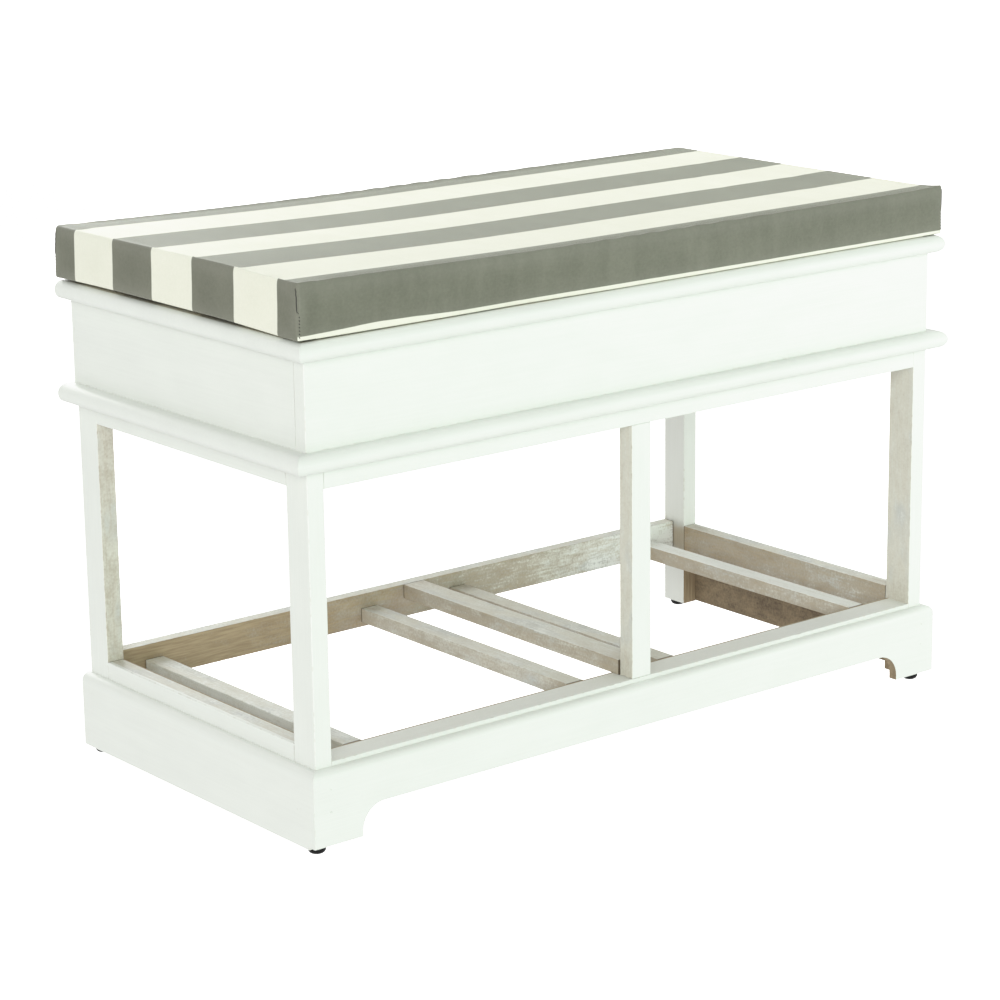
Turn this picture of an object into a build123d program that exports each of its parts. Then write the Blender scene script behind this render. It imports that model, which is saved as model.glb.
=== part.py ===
from build123d import *
import os
from math import cos, radians, sin, sqrt

# A hall bench: an open leg frame with a bracket-foot plinth, a shallow chest with a
# lid hinged at the back, and a loose box cushion. All sizes are in millimetres.
# +X runs along the bench, +Y from the front to the back, +Z up from the floor.

# Leg frame
frame_length = 764.0
frame_depth = 374.0
post_width = 18.0
post_depth = 32.0
centre_post_width = 23.5
centre_post_depth = 18.0
bay_height = 248.0
top_rail_height = 17.0
top_rail_thickness = 18.0
front_rail_depth = 30.0
front_rail_height = 16.0
front_rail_rise = 4.0
side_rail_height = 31.0
side_rail_rise = 16.5
back_rail_height = 35.0
back_rail_thickness = 15.0
divider_width = 26.0
divider_height = 15.0
runner_width = 20.5
runner_height = 15.0
runner_end_gap = 34.5
runner_divider_gap = 34.5
edge_ease = 0.8
joint_gap = 0.4

# Plinth and feet
plinth_thickness = 9.5
plinth_height = 70.0
plinth_round = 8.0
plinth_back_overhang = 2.0
plinth_lift = 3.0
side_plinth_drop = 2.6
foot_width = 53.0
arch_height = 28.7
arch_radius = 24.0
glide_height = 7.5
glide_radius = 8.5
glide_sole_radius = 5.0
glide_end_inset = 5.0
glide_face_inset = 8.5

# Chest
floor_board_thickness = 18.0
floor_board_end_overhang = 18.0
floor_board_front_overhang = 13.0
floor_board_back_ledge = 2.0
chest_height = 79.3
panel_thickness = 15.0
back_panel_thickness = 4.0
hinge_rail_height = 40.0
hinge_rail_thickness = 18.0

# Lid
lid_thickness = 18.0
lid_end_overhang = 12.0
lid_front_overhang = 12.0
lid_back_overhang = 13.0
lid_gap = 0.5
lid_back_round = 1.5

# Lid hinges
hinge_inset = 150.0
hinge_length = 60.0
leaf_thickness = 1.5
frame_leaf_drop = 28.0
lid_leaf_reach = 30.0
knuckle_radius = 3.0
knuckle_gap = 0.4
knuckle_end_gap = 0.2
pin_radius = 1.5
pin_clearance = 0.05
pin_head_radius = 2.2
pin_head_length = 1.0
pocket_clearance = 0.6

# Cushion
cushion_gap = 0.3
cushion_end_margin = 1.5
cushion_side_margin = 4.5
cushion_height = 45.0
cushion_crown = 1.2
cushion_bulge = 3.0
cushion_draw = 2.0
cushion_edge_radius = 10.0
cushion_end_radius = 9.0
cover_thickness = 1.2

# Fasteners
dowel_radius = 3.0
dowel_depth = 12.0
dowel_end_gap = 1.0
fastener_clearance = 0.1
floor_screw_length = 30.0
floor_screw_radius = 2.0
floor_screw_head_radius = 4.0
hinge_screw_length = 15.0
hinge_screw_radius = 1.6
hinge_screw_head_radius = 3.0
panel_nail_length = 18.0
panel_nail_radius = 0.8
panel_nail_head_radius = 1.8
panel_nail_head_length = 0.8
plinth_brad_length = 22.0
plinth_brad_radius = 0.8
glide_nail_length = 18.0
glide_nail_radius = 1.0
glide_nail_head_radius = 3.0
glide_nail_head_length = 1.2
glide_nail_cover = 2.5

# Shares: how far a dowel goes into a board, and where fasteners stand along a piece
bite_share = 0.6
round_share = 0.9
outer_screw_share = 0.6
middle_screw_share = 0.75
dowel_shares = (0.25, 0.75)
row_nail_shares = (0.2, 0.6)
end_nail_shares = (0.2, 0.9)
brad_shares = (0.45, 0.75)
glide_dome_share = 0.7
glide_dome_angle = 50.0
cushion_fade_share = 0.8

# Levels, from the floor up
post_foot = glide_height
plinth_bottom = post_foot + plinth_lift
plinth_top = plinth_bottom + plinth_height
front_rail_top = plinth_top + front_rail_rise
front_rail_bottom = front_rail_top - front_rail_height
side_rail_top = plinth_top + side_rail_rise
side_rail_bottom = side_rail_top - side_rail_height
divider_top = front_rail_top + divider_height
back_rail_bottom = divider_top - back_rail_height
bay_top = front_rail_top + bay_height
floor_board_bottom = bay_top + top_rail_height
chest_floor = floor_board_bottom + floor_board_thickness
panel_top = chest_floor + chest_height
lid_bottom = panel_top + lid_gap
lid_top = lid_bottom + lid_thickness

# Faces along the bench and across it
half_length = frame_length / 2
half_depth = frame_depth / 2
front_face = -half_depth
back_face = half_depth
post_inside = half_length - post_width
chest_inside = half_length - panel_thickness
panel_back = front_face + panel_thickness
chest_back = back_face + back_panel_thickness
hinge_rail_front = back_face - hinge_rail_thickness
front_rail_back = front_face + front_rail_depth
back_rail_front = back_face - back_rail_thickness
centre_post_back = front_face + centre_post_depth
plinth_half_length = half_length + plinth_thickness
plinth_front = front_face - plinth_thickness

# Hinge axis: behind the back panel, under the lid's overhang
hinge_axis_y = chest_back + knuckle_radius + knuckle_gap
hinge_axis_z = lid_bottom + leaf_thickness - knuckle_radius
hinge_offset = half_length - hinge_inset

pieces = {}


def block(x_range, y_range, z_range):
    """A square-edged block between three pairs of coordinates."""
    spans = (x_range, y_range, z_range)
    centre = [(low + high) / 2 for low, high in spans]
    sides = [high - low for low, high in spans]
    return Pos(*centre) * Box(*sides)


def eased_block(x_range, y_range, z_range, axis):
    """A block with its four edges along one axis rounded over."""
    bar = block(x_range, y_range, z_range)
    return fillet(bar.edges().filter_by(axis), edge_ease)


def rod(start, direction, length, radius):
    """A round rod that starts at a point and runs along a direction."""
    base = Plane(origin=start, z_dir=direction)
    return base * Cylinder(radius, length, align=(Align.CENTER, Align.CENTER, Align.MIN))


def headed_rod(start, direction, length, radius, head_radius, head_length, grow=0.0):
    """A nail: a flat head at the start, with the shank running on from it."""
    head = rod(start, direction, head_length, head_radius + grow)
    return head + rod(start, direction, length, radius + grow)


def countersunk_screw(start, direction, length, radius, head_radius, grow=0.0):
    """A screw whose flat head lies at the start, coned down to the shank."""
    cone_length = head_radius - radius
    base = Plane(origin=start, z_dir=direction)
    upright = (Align.CENTER, Align.CENTER, Align.MIN)
    head = base * Cone(head_radius + grow, radius + grow, cone_length, align=upright)
    return head + rod(start, direction, length, radius + grow)


def nosed_board(half_x, y_front, y_back, z_bottom, thickness, back_round):
    """A board with half-round noses on its front and ends, mitred at the corners."""
    nose = thickness / 2
    z_middle = z_bottom + nose
    flat_front = y_front + nose
    flat_depth = y_back - flat_front
    flat = Pos((flat_front + y_back) / 2, z_middle) * Rectangle(flat_depth, thickness)
    if back_round > 0:
        flat = fillet(flat.vertices().group_by(Axis.X)[-1], back_round)
    side_profile = flat + Pos(flat_front, z_middle) * Circle(nose)
    along = extrude(Plane.YZ * side_profile, half_x, both=True)
    end_profile = Pos(0, z_middle) * SlotOverall(2 * half_x, thickness)
    reach = max(abs(y_front), abs(y_back))
    across = extrude(Plane.XZ * end_profile, reach, both=True)
    return along & across


def joined(first, second, point, direction, first_depth, second_depth):
    """A dowel across a joint; both pieces get their half of its hole.

    The dowel lies on the point in the joint face, and the direction runs from
    the first piece into the second.
    """
    way = Vector(*direction)
    middle = Vector(*point)
    start = middle - way * first_depth
    length = first_depth + second_depth
    hole_start = start - way * dowel_end_gap
    hole_length = length + 2 * dowel_end_gap
    hole = rod(hole_start, way, hole_length, dowel_radius + fastener_clearance)
    pieces[first] -= hole
    pieces[second] -= hole
    return rod(start, way, length, dowel_radius)


# Leg frame: corner posts and the centre post
sides = {"left": -1, "right": 1}
rows = {"front": -1, "rear": 1}


def ordered(first, second):
    """Two coordinates with the lower one first."""
    return (min(first, second), max(first, second))


for side, x_sign in sides.items():
    for row, y_sign in rows.items():
        x_range = ordered(x_sign * post_inside, x_sign * half_length)
        y_range = ordered(y_sign * (half_depth - post_depth), y_sign * half_depth)
        z_range = (post_foot, floor_board_bottom)
        pieces[f"{row}_{side}_post"] = eased_block(x_range, y_range, z_range, Axis.Z)

half_centre_post = centre_post_width / 2
pieces["centre_post"] = eased_block(
    (-half_centre_post, half_centre_post),
    (front_face, centre_post_back),
    (front_rail_top + joint_gap, bay_top),
    Axis.Z,
)

# Leg frame: top rails under the chest, and bottom rails round the bays
long_span = (-post_inside, post_inside)
short_span = (post_depth - half_depth, half_depth - post_depth)
top_rail_span = (bay_top, floor_board_bottom)
pieces["front_top_rail"] = eased_block(
    long_span, (front_face, front_face + top_rail_thickness), top_rail_span, Axis.X)
pieces["back_top_rail"] = eased_block(
    long_span, (back_face - top_rail_thickness, back_face), top_rail_span, Axis.X)
pieces["front_bottom_rail"] = eased_block(
    long_span, (front_face, front_rail_back), (front_rail_bottom, front_rail_top), Axis.X)
pieces["back_bottom_rail"] = eased_block(
    (joint_gap - post_inside, post_inside - joint_gap),
    (back_rail_front, back_face),
    (back_rail_bottom, divider_top),
    Axis.X,
)

for side, x_sign in sides.items():
    x_range = ordered(x_sign * post_inside, x_sign * half_length)
    pieces[f"{side}_top_rail"] = eased_block(x_range, short_span, top_rail_span, Axis.Y)
    rail_span = (side_rail_bottom, side_rail_top)
    pieces[f"{side}_bottom_rail"] = eased_block(x_range, short_span, rail_span, Axis.Y)

# Leg frame: the divider between the bays and the runners that the baskets slide on.
# The wood has shrunk a little, so these joints stand open by a hair.
half_divider = divider_width / 2
pieces["centre_divider"] = eased_block(
    (-half_divider, half_divider),
    (centre_post_back + joint_gap, back_rail_front - joint_gap),
    (front_rail_top, divider_top),
    Axis.Y,
)

runner_span = (front_rail_back, back_rail_front - joint_gap)
runner_levels = (front_rail_top - runner_height, front_rail_top)
runner_centres = {
    "outer": post_inside - runner_end_gap - runner_width / 2,
    "inner": half_divider + runner_divider_gap + runner_width / 2,
}
for side, x_sign in sides.items():
    for place, centre in runner_centres.items():
        x_range = (x_sign * centre - runner_width / 2, x_sign * centre + runner_width / 2)
        pieces[f"{side}_{place}_runner"] = eased_block(x_range, runner_span, runner_levels, Axis.Y)

# Chest: nosed floor board, panels, thin back and the rail that carries the hinges
pieces["chest_floor_board"] = nosed_board(
    half_length + floor_board_end_overhang,
    front_face - floor_board_front_overhang,
    chest_back + floor_board_back_ledge,
    floor_board_bottom,
    floor_board_thickness,
    0.0,
)
panel_span = (chest_floor, panel_top)
pieces["chest_front_panel"] = eased_block(
    (-half_length, half_length), (front_face, panel_back), panel_span, Axis.Z)
for side, x_sign in sides.items():
    x_range = ordered(x_sign * chest_inside, x_sign * half_length)
    pieces[f"chest_{side}_panel"] = block(x_range, (panel_back, back_face), panel_span)
pieces["chest_back_panel"] = block(
    (-half_length, half_length), (back_face, chest_back), panel_span)
pieces["hinge_rail"] = block(
    (-chest_inside, chest_inside),
    (hinge_rail_front, back_face),
    (panel_top - hinge_rail_height, panel_top),
)

# Lid: a nosed board that overhangs the chest all round
lid_front = front_face - lid_front_overhang
lid_back = back_face + lid_back_overhang
lid_half_length = half_length + lid_end_overhang
pieces["lid_board"] = nosed_board(
    lid_half_length, lid_front, lid_back, lid_bottom, lid_thickness, lid_back_round)


# Plinth: three boards with a rounded top edge, mitred at the front corners. Behind the
# front board the side boards hang a little lower.
def plinth_board(x_range, y_range, outer_face):
    """A plinth board with the top edge of its outer face rounded over."""
    board = block(x_range, y_range, (plinth_bottom, plinth_top))
    top_edges = board.edges().group_by(Axis.Z)[-1]
    outer_edge = top_edges.sort_by_distance(outer_face)[0]
    return fillet(outer_edge, min(plinth_round, plinth_thickness * round_share))


def upright_prism(corners):
    """A three-cornered prism that takes in the plinth's whole height."""
    outline = make_face(Polyline(*corners, close=True))
    return extrude(Pos(0, 0, plinth_bottom) * outline, plinth_height)


front_plinth = plinth_board(
    (-plinth_half_length, plinth_half_length),
    (plinth_front, front_face),
    (0, plinth_front, plinth_top),
)
arch_half = plinth_half_length - foot_width
arch = block(
    (-arch_half, arch_half),
    (plinth_front - plinth_thickness, front_face + plinth_thickness),
    (plinth_bottom - arch_height, plinth_bottom + arch_height),
)
arch_top_edges = arch.edges().filter_by(Axis.Y).group_by(Axis.Z)[-1]
front_plinth -= fillet(arch_top_edges, min(arch_radius, arch_height * round_share))
for side, x_sign in sides.items():
    outer_corner = (x_sign * plinth_half_length, plinth_front)
    inner_corner = (x_sign * half_length, front_face)
    front_plinth -= upright_prism(
        [outer_corner, (x_sign * plinth_half_length, front_face), inner_corner])
    x_range = ordered(x_sign * half_length, x_sign * plinth_half_length)
    board_end = back_face + plinth_back_overhang
    outer_face = (x_sign * plinth_half_length, 0, plinth_top)
    side_plinth = plinth_board(x_range, (plinth_front, board_end), outer_face)
    side_plinth -= upright_prism([outer_corner, (x_sign * half_length, plinth_front), inner_corner])
    side_plinth += block(
        x_range, (front_face, board_end), (plinth_bottom - side_plinth_drop, plinth_bottom))
    pieces[f"{side}_plinth"] = side_plinth
pieces["front_plinth"] = front_plinth

# Lid hinges: one leaf on the back panel, one let into the lid, and a headed pin
segment = hinge_length / 3
pin_seat = hinge_length / 2 + knuckle_end_gap
for side, x_sign in sides.items():
    hinge_x = x_sign * hinge_offset
    hinge_start = hinge_x - hinge_length / 2
    hinge_end = hinge_x + hinge_length / 2
    middle_start = hinge_x - segment / 2
    middle_end = hinge_x + segment / 2
    axis_point = (hinge_start, hinge_axis_y, hinge_axis_z)
    bore = rod(axis_point, (1, 0, 0), hinge_length, pin_radius + pin_clearance)
    barrel = rod(axis_point, (1, 0, 0), hinge_length, knuckle_radius)
    free_radius = knuckle_radius + knuckle_gap

    frame_plate = block(
        (hinge_start, hinge_end),
        (chest_back, chest_back + leaf_thickness),
        (hinge_axis_z - frame_leaf_drop, hinge_axis_z),
    )
    lid_knuckle_room = block(
        (middle_start - knuckle_end_gap, middle_end + knuckle_end_gap),
        (chest_back, hinge_axis_y + free_radius),
        (hinge_axis_z - free_radius, hinge_axis_z + free_radius),
    )
    pieces[f"{side}_hinge_frame_leaf"] = frame_plate + barrel - lid_knuckle_room - bore

    lid_plate = block(
        (hinge_start, hinge_end),
        (hinge_axis_y - lid_leaf_reach, hinge_axis_y),
        (lid_bottom, lid_bottom + leaf_thickness),
    )
    lid_leaf = lid_plate + barrel - bore
    for room_start, room_end in ((hinge_start, middle_start), (middle_end, hinge_end)):
        lid_leaf -= block(
            (room_start, room_end),
            (hinge_axis_y - free_radius, hinge_axis_y + free_radius),
            (hinge_axis_z - free_radius, hinge_axis_z + free_radius),
        )
    pieces[f"{side}_hinge_lid_leaf"] = lid_leaf

    pin_start = (hinge_x - pin_seat, hinge_axis_y, hinge_axis_z)
    pin_end = (hinge_x + pin_seat, hinge_axis_y, hinge_axis_z)
    pin = rod(pin_start, (1, 0, 0), 2 * pin_seat, pin_radius)
    pin += rod(pin_start, (-1, 0, 0), pin_head_length, pin_head_radius)
    pin += rod(pin_end, (1, 0, 0), pin_head_length, pin_head_radius)
    pieces[f"{side}_hinge_pin"] = pin

    leaf_recess = block(
        (hinge_start - knuckle_end_gap, hinge_end + knuckle_end_gap),
        (hinge_axis_y - lid_leaf_reach - knuckle_end_gap, hinge_axis_y),
        (lid_bottom, lid_bottom + leaf_thickness),
    )
    pocket_half = pin_seat + pin_head_length + pocket_clearance
    pocket_radius = knuckle_radius + pocket_clearance
    knuckle_pocket = block(
        (hinge_x - pocket_half, hinge_x + pocket_half),
        (hinge_axis_y - pocket_radius, hinge_axis_y + pocket_radius),
        (lid_bottom, hinge_axis_z + pocket_radius),
    )
    pieces["lid_board"] -= leaf_recess + knuckle_pocket

# Hinge screws: three through each leaf
screw_spread = hinge_length / 3
screw_sizes = (hinge_screw_length, hinge_screw_radius, hinge_screw_head_radius)
frame_screws = []
lid_screws = []
for side, x_sign in sides.items():
    for step in (-1, 0, 1):
        screw_x = x_sign * hinge_offset + step * screw_spread
        share = outer_screw_share if step else middle_screw_share
        drop = frame_leaf_drop * share
        start = (screw_x, chest_back + leaf_thickness, hinge_axis_z - drop)
        way = (0, -1, 0)
        hole = countersunk_screw(start, way, *screw_sizes, grow=fastener_clearance)
        for name in (f"{side}_hinge_frame_leaf", "chest_back_panel", "hinge_rail"):
            pieces[name] -= hole
        frame_screws.append(countersunk_screw(start, way, *screw_sizes))

        reach = lid_leaf_reach * share
        start = (screw_x, hinge_axis_y - reach, lid_bottom)
        way = (0, 0, 1)
        hole = countersunk_screw(start, way, *screw_sizes, grow=fastener_clearance)
        for name in (f"{side}_hinge_lid_leaf", "lid_board"):
            pieces[name] -= hole
        lid_screws.append(countersunk_screw(start, way, *screw_sizes))

# Dowels of the leg frame, one at each butt joint
frame_dowels = []
post_bite = post_width * bite_share
top_rail_middle = (bay_top + floor_board_bottom) / 2
front_rail_middle = (front_rail_bottom + front_rail_top) / 2
back_rail_middle = (back_rail_bottom + divider_top) / 2
side_rail_middle = (side_rail_bottom + side_rail_top) / 2
long_rails = {
    "front_top_rail": ("front", front_face + top_rail_thickness / 2, top_rail_middle),
    "back_top_rail": ("rear", back_face - top_rail_thickness / 2, top_rail_middle),
    "front_bottom_rail": ("front", front_face + front_rail_depth / 2, front_rail_middle),
    "back_bottom_rail": ("rear", back_face - back_rail_thickness / 2, back_rail_middle),
}
for side, x_sign in sides.items():
    for rail, (row, joint_y, joint_z) in long_rails.items():
        frame_dowels.append(joined(
            rail, f"{row}_{side}_post",
            (x_sign * post_inside, joint_y, joint_z), (x_sign, 0, 0),
            dowel_depth, post_bite))
    for row, y_sign in rows.items():
        for rail, joint_z in (("top_rail", top_rail_middle), ("bottom_rail", side_rail_middle)):
            joint_x = x_sign * (half_length - post_width / 2)
            frame_dowels.append(joined(
                f"{side}_{rail}", f"{row}_{side}_post",
                (joint_x, y_sign * short_span[1], joint_z), (0, y_sign, 0),
                dowel_depth, dowel_depth))

# Dowels of the centre post, the divider and the runners
third_of_post = centre_post_depth / 3
stub = front_face + third_of_post
rail_bite = back_rail_thickness * bite_share
divider_middle = front_rail_top + divider_height / 2
runner_middle = front_rail_top - runner_height / 2
frame_dowels.append(joined(
    "centre_post", "front_bottom_rail", (0, stub, front_rail_top), (0, 0, -1),
    dowel_depth, front_rail_height * bite_share))
frame_dowels.append(joined(
    "centre_post", "front_top_rail", (0, stub, bay_top), (0, 0, 1),
    dowel_depth, top_rail_height * bite_share))
frame_dowels.append(joined(
    "centre_divider", "centre_post", (0, centre_post_back, divider_middle), (0, -1, 0),
    dowel_depth, third_of_post))
frame_dowels.append(joined(
    "centre_divider", "back_bottom_rail", (0, back_rail_front, divider_middle), (0, 1, 0),
    dowel_depth, rail_bite))
for side, x_sign in sides.items():
    for place, centre in runner_centres.items():
        runner = f"{side}_{place}_runner"
        frame_dowels.append(joined(
            runner, "front_bottom_rail",
            (x_sign * centre, front_rail_back, runner_middle), (0, -1, 0),
            dowel_depth, dowel_depth))
        frame_dowels.append(joined(
            runner, "back_bottom_rail",
            (x_sign * centre, back_rail_front, runner_middle), (0, 1, 0),
            dowel_depth, rail_bite))

# Dowels of the chest: panels into the floor board, and the box's corners
chest_dowels = []
board_bite = floor_board_thickness * bite_share
panel_bite = panel_thickness * bite_share
for side, x_sign in sides.items():
    for share in dowel_shares:
        joint_x = x_sign * half_length * share
        chest_dowels.append(joined(
            "chest_front_panel", "chest_floor_board",
            (joint_x, front_face + panel_thickness / 2, chest_floor), (0, 0, -1),
            dowel_depth, board_bite))
        joint_y = panel_back + (back_face - panel_back) * share
        panel_x = x_sign * (half_length - panel_thickness / 2)
        chest_dowels.append(joined(
            f"chest_{side}_panel", "chest_floor_board",
            (panel_x, joint_y, chest_floor), (0, 0, -1),
            dowel_depth, board_bite))
        chest_dowels.append(joined(
            f"chest_{side}_panel", "chest_front_panel",
            (panel_x, panel_back, chest_floor + chest_height * share), (0, -1, 0),
            dowel_depth, panel_bite))
    rail_middle_y = (hinge_rail_front + back_face) / 2
    rail_middle_z = panel_top - hinge_rail_height / 2
    chest_dowels.append(joined(
        "hinge_rail", f"chest_{side}_panel",
        (x_sign * chest_inside, rail_middle_y, rail_middle_z), (x_sign, 0, 0),
        dowel_depth, panel_bite))

# Screws up through the top rails into the chest's floor board
bay_middle = (half_centre_post + post_inside) / 2
screw_places = {"left_top_rail": [(-1, 0)], "right_top_rail": [(1, 0)]}
screw_places["front_top_rail"] = [(-1, -1), (1, -1)]
screw_places["back_top_rail"] = [(-1, 1), (1, 1)]
floor_screw_sizes = (floor_screw_length, floor_screw_radius, floor_screw_head_radius)
floor_screws = []
for rail, places in screw_places.items():
    for x_sign, y_sign in places:
        on_long_rail = y_sign != 0
        long_x = x_sign * bay_middle
        short_x = x_sign * (half_length - post_width / 2)
        screw_x = long_x if on_long_rail else short_x
        start = (screw_x, y_sign * (half_depth - top_rail_thickness / 2), bay_top)
        way = (0, 0, 1)
        hole = countersunk_screw(start, way, *floor_screw_sizes, grow=fastener_clearance)
        pieces[rail] -= hole
        pieces["chest_floor_board"] -= hole
        floor_screws.append(countersunk_screw(start, way, *floor_screw_sizes))

# Nails that hold the thin back: a row into the hinge rail, and two into each end panel
nail_sizes = (panel_nail_length, panel_nail_radius, panel_nail_head_radius, panel_nail_head_length)
nail_row_z = panel_top - hinge_rail_height / 2
end_nail_x = half_length - panel_thickness / 2
outer_nail_x = (hinge_offset + hinge_length / 2 + chest_inside) / 2
panel_nails = []
for side, x_sign in sides.items():
    places = [("hinge_rail", hinge_offset * share, nail_row_z) for share in row_nail_shares]
    places.append(("hinge_rail", outer_nail_x, nail_row_z))
    for share in end_nail_shares:
        places.append((f"chest_{side}_panel", end_nail_x, chest_floor + chest_height * share))
    for backing, nail_x, nail_z in places:
        start = (x_sign * nail_x, chest_back, nail_z)
        hole = headed_rod(start, (0, -1, 0), *nail_sizes, grow=fastener_clearance)
        pieces["chest_back_panel"] -= hole
        pieces[backing] -= hole
        panel_nails.append(headed_rod(start, (0, -1, 0), *nail_sizes))

# Brads through the plinth into the posts
brad_levels = [plinth_bottom + plinth_height * share for share in brad_shares]
plinth_brads = []
for side, x_sign in sides.items():
    post_middle_x = x_sign * (half_length - post_width / 2)
    post_middle_y = half_depth - post_depth / 2
    for level in brad_levels:
        places = [
            ("front_plinth", "front", (post_middle_x, plinth_front, level), (0, 1, 0)),
            (f"{side}_plinth", "front",
             (x_sign * plinth_half_length, -post_middle_y, level), (-x_sign, 0, 0)),
            (f"{side}_plinth", "rear",
             (x_sign * plinth_half_length, post_middle_y, level), (-x_sign, 0, 0)),
        ]
        for board, row, start, way in places:
            bite = plinth_brad_radius + fastener_clearance
            hole = rod(start, way, plinth_brad_length, bite)
            pieces[board] -= hole
            pieces[f"{row}_{side}_post"] -= hole
            plinth_brads.append(rod(start, way, plinth_brad_length, plinth_brad_radius))

# Feet: domed glides, each moulded round the head of the nail that holds it
dome_top = glide_height * glide_dome_share
dome_reach = glide_radius - glide_sole_radius
dome_point = (
    glide_sole_radius + dome_reach * sin(radians(glide_dome_angle)),
    dome_top * (1 - cos(radians(glide_dome_angle))),
)
glide_profile = make_face([
    Line((0, 0), (glide_sole_radius, 0)),
    ThreePointArc((glide_sole_radius, 0), dome_point, (glide_radius, dome_top)),
    Line((glide_radius, dome_top), (glide_radius, glide_height)),
    Line((glide_radius, glide_height), (0, glide_height)),
    Line((0, glide_height), (0, 0)),
])
glide_body = revolve(Plane.XZ * glide_profile, Axis.Z)
nail_sizes = (glide_nail_length, glide_nail_radius, glide_nail_head_radius, glide_nail_head_length)
foot_glides = []
glide_nails = []
for side, x_sign in sides.items():
    for row, y_sign in rows.items():
        spot = (x_sign * (half_length - glide_end_inset), y_sign * (half_depth - glide_face_inset))
        start = (*spot, glide_nail_cover)
        nail = headed_rod(start, (0, 0, 1), *nail_sizes)
        foot_glides.append(Pos(*spot, 0) * glide_body - nail)
        glide_nails.append(nail)
        shank_hole = rod(start, (0, 0, 1), glide_nail_length, glide_nail_radius + fastener_clearance)
        pieces[f"{row}_{side}_post"] -= shank_hole


# Cushion: a crowned box whose sides bulge at mid height and draw in between the corners
def cushion_section(x, length, depth, height, edge_radius, end_radius, z_bottom):
    """The cushion's cut at one place along the bench, as a face square to X.

    The crown and the drawn-in sides fade towards the ends with the square of the
    place, and the last stretch rounds in as a quarter circle.
    """
    place = abs(x) / (length / 2)
    fade = 1 - cushion_fade_share * place * place
    into_round = max(0.0, abs(x) - (length / 2 - end_radius))
    inset = end_radius - sqrt(max(0.0, end_radius ** 2 - into_round ** 2))
    half = depth / 2 - cushion_draw * fade - inset
    low = z_bottom + inset
    high = z_bottom + height - inset
    side = half - cushion_bulge
    flat = side - edge_radius
    slant = edge_radius * sin(radians(45))
    middle = (low + high) / 2
    crown = Vector(0, high + cushion_crown * fade)
    edges = [Line((-flat, low), (flat, low))]
    edges.append(ThreePointArc((flat, high), crown, (-flat, high)))
    for sign in (1, -1):
        lower_turn = (sign * (flat + slant), low + edge_radius - slant)
        upper_turn = (sign * (flat + slant), high - edge_radius + slant)
        edges.append(ThreePointArc(
            (sign * flat, low), lower_turn, (sign * side, low + edge_radius)))
        edges.append(ThreePointArc(
            (sign * side, low + edge_radius), (sign * half, middle),
            (sign * side, high - edge_radius)))
        edges.append(ThreePointArc(
            (sign * side, high - edge_radius), upper_turn, (sign * flat, high)))
    return Plane(origin=(x, cushion_centre_y, 0), x_dir=(0, 1, 0), z_dir=(1, 0, 0)) * make_face(edges)


def cushion_form(skin):
    """The cushion's solid, taken in on every side by the thickness of a skin."""
    length = 2 * (lid_half_length - cushion_end_margin - skin)
    depth = lid_back - lid_front - 2 * (cushion_side_margin + skin)
    height = cushion_height - 2 * skin
    edge_radius = cushion_edge_radius - skin
    end_radius = cushion_end_radius - skin
    half = length / 2
    turns = [end_radius * sin(radians(angle)) for angle in (30, 60, 90)]
    stations = [half - end_radius + turn for turn in turns]
    stations = [0.0, half / 2, half - end_radius] + stations
    places = [-x for x in reversed(stations[1:])] + stations
    sections = [
        cushion_section(x, length, depth, height, edge_radius, end_radius, cushion_bottom + skin)
        for x in places
    ]
    return loft(sections, ruled=True)


cushion_bottom = lid_top + cushion_gap
cushion_centre_y = (lid_front + lid_back) / 2
cushion_foam = cushion_form(cover_thickness)
pieces["cushion_foam"] = cushion_foam
pieces["cushion_cover"] = cushion_form(0.0) - cushion_foam

groups = {
    "foot_glides": foot_glides,
    "glide_nails": glide_nails,
    "frame_dowels": frame_dowels,
    "chest_dowels": chest_dowels,
    "chest_floor_screws": floor_screws,
    "back_panel_nails": panel_nails,
    "plinth_brads": plinth_brads,
    "hinge_frame_screws": frame_screws,
    "hinge_lid_screws": lid_screws,
}

os.makedirs("parts", exist_ok=True)
for name, piece in pieces.items():
    export_step(piece, f"parts/{name}.step")
for name, members in groups.items():
    solids = [solid for member in members for solid in member.solids()]
    export_step(Compound(children=solids), f"parts/{name}.step")
print(len(pieces) + len(groups), "nodes")
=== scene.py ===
# %% [markdown]
# # Dressing a painted hall bench
# The bench arrives as solids: a leg frame, a shallow chest, a hinged lid and a loose cushion, each where it
# belongs, in metres, with the floor at zero. This lesson gives every board its paint or its thin wash, sews
# the striped cushion, and sets the light and the camera. No board is moved or reshaped here: a solid whose
# shape is right only needs a finish.

# %% Load the bench
import math

import bpy
import numpy as np
from mathutils import Matrix, Vector
from mathutils.bvhtree import BVHTree


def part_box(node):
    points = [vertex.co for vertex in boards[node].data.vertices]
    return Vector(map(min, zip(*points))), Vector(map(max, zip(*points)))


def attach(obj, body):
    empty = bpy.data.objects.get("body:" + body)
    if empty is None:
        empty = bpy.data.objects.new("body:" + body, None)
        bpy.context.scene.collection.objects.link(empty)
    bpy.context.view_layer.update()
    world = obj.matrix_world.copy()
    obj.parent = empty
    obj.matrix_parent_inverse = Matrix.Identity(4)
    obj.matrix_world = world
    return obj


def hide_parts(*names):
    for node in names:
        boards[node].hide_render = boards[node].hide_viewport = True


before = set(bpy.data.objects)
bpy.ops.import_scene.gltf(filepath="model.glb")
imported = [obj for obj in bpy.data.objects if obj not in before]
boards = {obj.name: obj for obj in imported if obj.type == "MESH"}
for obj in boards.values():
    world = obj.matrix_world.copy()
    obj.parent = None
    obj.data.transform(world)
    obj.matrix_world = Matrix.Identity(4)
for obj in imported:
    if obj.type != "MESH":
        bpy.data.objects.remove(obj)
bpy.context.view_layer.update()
scene = bpy.context.scene
mm = 0.001

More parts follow.
